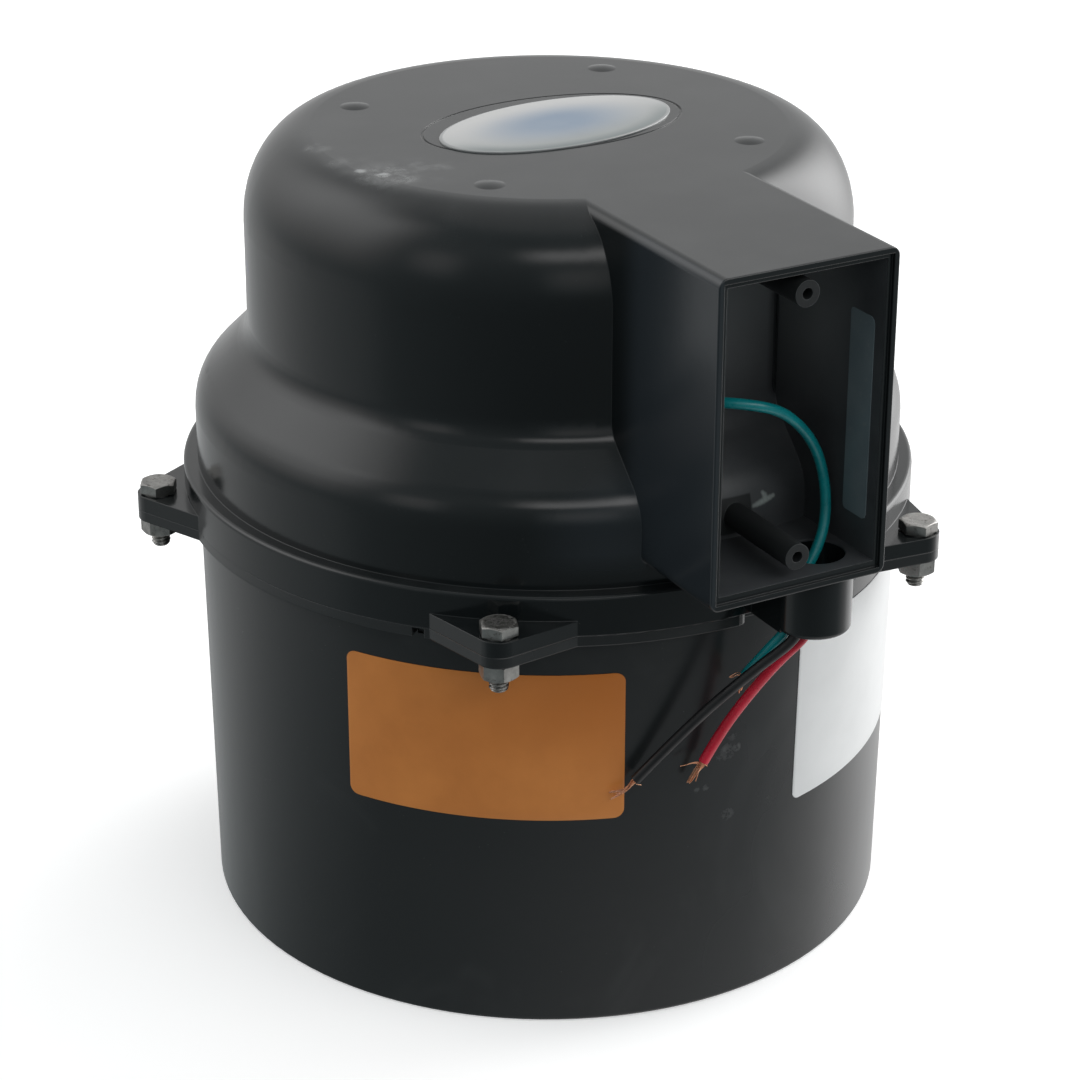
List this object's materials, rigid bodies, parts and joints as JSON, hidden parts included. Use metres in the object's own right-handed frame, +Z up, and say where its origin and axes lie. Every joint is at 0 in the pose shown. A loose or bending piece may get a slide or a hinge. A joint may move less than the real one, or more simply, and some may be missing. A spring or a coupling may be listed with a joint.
{
  "type": "air blower",
  "caption": "Round two-piece moulded air blower with a stepped dome, a side wiring box with a lead spout, and a two-stage fan motor on rubber mounts inside.",
  "frame": {"origin": "centre of the base on the vertical axis of the round housing, in the plane it stands on", "axes": "+Z up along the motor axis, -Y towards the open face of the wiring box, +X to the right when facing the wiring box"},
  "size_m": [0.2642, 0.2928, 0.2688],
  "materials": {
    "housing_plastic": "satin-gloss moulded black",
    "inner_plastic": "matt moulded black",
    "badge_plastic": "domed pale resin, plain",
    "orange_label": "printed film, plain",
    "white_label": "printed film, plain",
    "black_rubber": "moulded rubber",
    "green_insulation": "extruded insulation",
    "black_insulation": "extruded insulation",
    "red_insulation": "extruded insulation",
    "copper": "bare or enamelled copper",
    "brass": "stamped",
    "zinc_steel": "zinc plated",
    "pressed_steel": "pressed and plated",
    "spring_steel": "drawn wire",
    "bearing_steel": "ground",
    "lamination_steel": "stacked laminations",
    "aluminium": "pressed sheet",
    "cast_aluminium": "die cast",
    "carbon": "pressed carbon",
    "foam": "open-cell foam",
    "film_label": "thin grey film, plain"
  },
  "bodies": {
    "housing": {"upper_housing": "housing_plastic", "lower_housing": "housing_plastic", "housing_gasket": "black_rubber", "flange_bolts": "zinc_steel", "flange_nuts": "zinc_steel", "top_badge": "badge_plastic", "front_label": "orange_label", "side_label": "white_label", "box_label": "film_label", "lead_grommet": "black_rubber", "wall_grommet": "black_rubber", "duct_grommet": "black_rubber", "green_lead": "green_insulation", "black_lead": "black_insulation", "red_lead": "red_insulation", "green_strands": "copper", "black_strands": "copper", "red_strands": "copper", "black_inner_lead": "black_insulation", "red_inner_lead": "red_insulation", "green_inner_lead": "green_insulation", "black_brush_lead": "black_insulation", "red_brush_lead": "red_insulation", "intake_grille": "inner_plastic", "grille_screws": "zinc_steel", "outlet_duct": "inner_plastic", "duct_screws": "zinc_steel", "duct_seal": "black_rubber", "intake_foam": "foam", "dome_foam": "foam", "lower_motor_mount": "black_rubber", "upper_motor_mount": "black_rubber", "clamp_ring": "zinc_steel", "clamp_studs": "zinc_steel", "clamp_nuts": "zinc_steel", "fan_shell": "pressed_steel", "ground_screw": "zinc_steel", "fan_diffuser": "aluminium", "fan_end_bracket": "cast_aluminium", "field_core": "lamination_steel", "field_coils": "copper", "brush_end_bracket": "cast_aluminium", "motor_bolts": "zinc_steel", "brush_holders": "brass", "brush_spring_right": "spring_steel", "brush_spring_left": "spring_steel", "fan_end_bearing": "bearing_steel", "brush_end_bearing": "bearing_steel"},
    "rotor": {"shaft": "bearing_steel", "bearing_inner_races": "bearing_steel", "armature_core": "lamination_steel", "armature_windings": "copper", "commutator": "copper", "lower_impeller": "aluminium", "upper_impeller": "aluminium", "shaft_spacers": "aluminium", "shaft_nut": "zinc_steel"},
    "brush_right_slide": {"brush_right": "carbon"},
    "brush_left_slide": {"brush_left": "carbon"}
  },
  "joints": [
    {"name": "rotor_spin", "type": "hinge", "parent": "housing", "child": "rotor", "pos_m": [0, 0, 0.1485], "axis": [0, 0, 1], "continuous": true},
    {"name": "brush_right_travel", "type": "slide", "parent": "housing", "child": "brush_right_slide", "axis": [1, 0, 0], "range_m": [0, 0.004], "stiffness_N_per_m": 120, "springref_m": -0.004, "deforming": ["brush_spring_right"]},
    {"name": "brush_left_travel", "type": "slide", "parent": "housing", "child": "brush_left_slide", "axis": [-1, 0, 0], "range_m": [0, 0.004], "stiffness_N_per_m": 120, "springref_m": -0.004, "deforming": ["brush_spring_left"]}
  ]
}
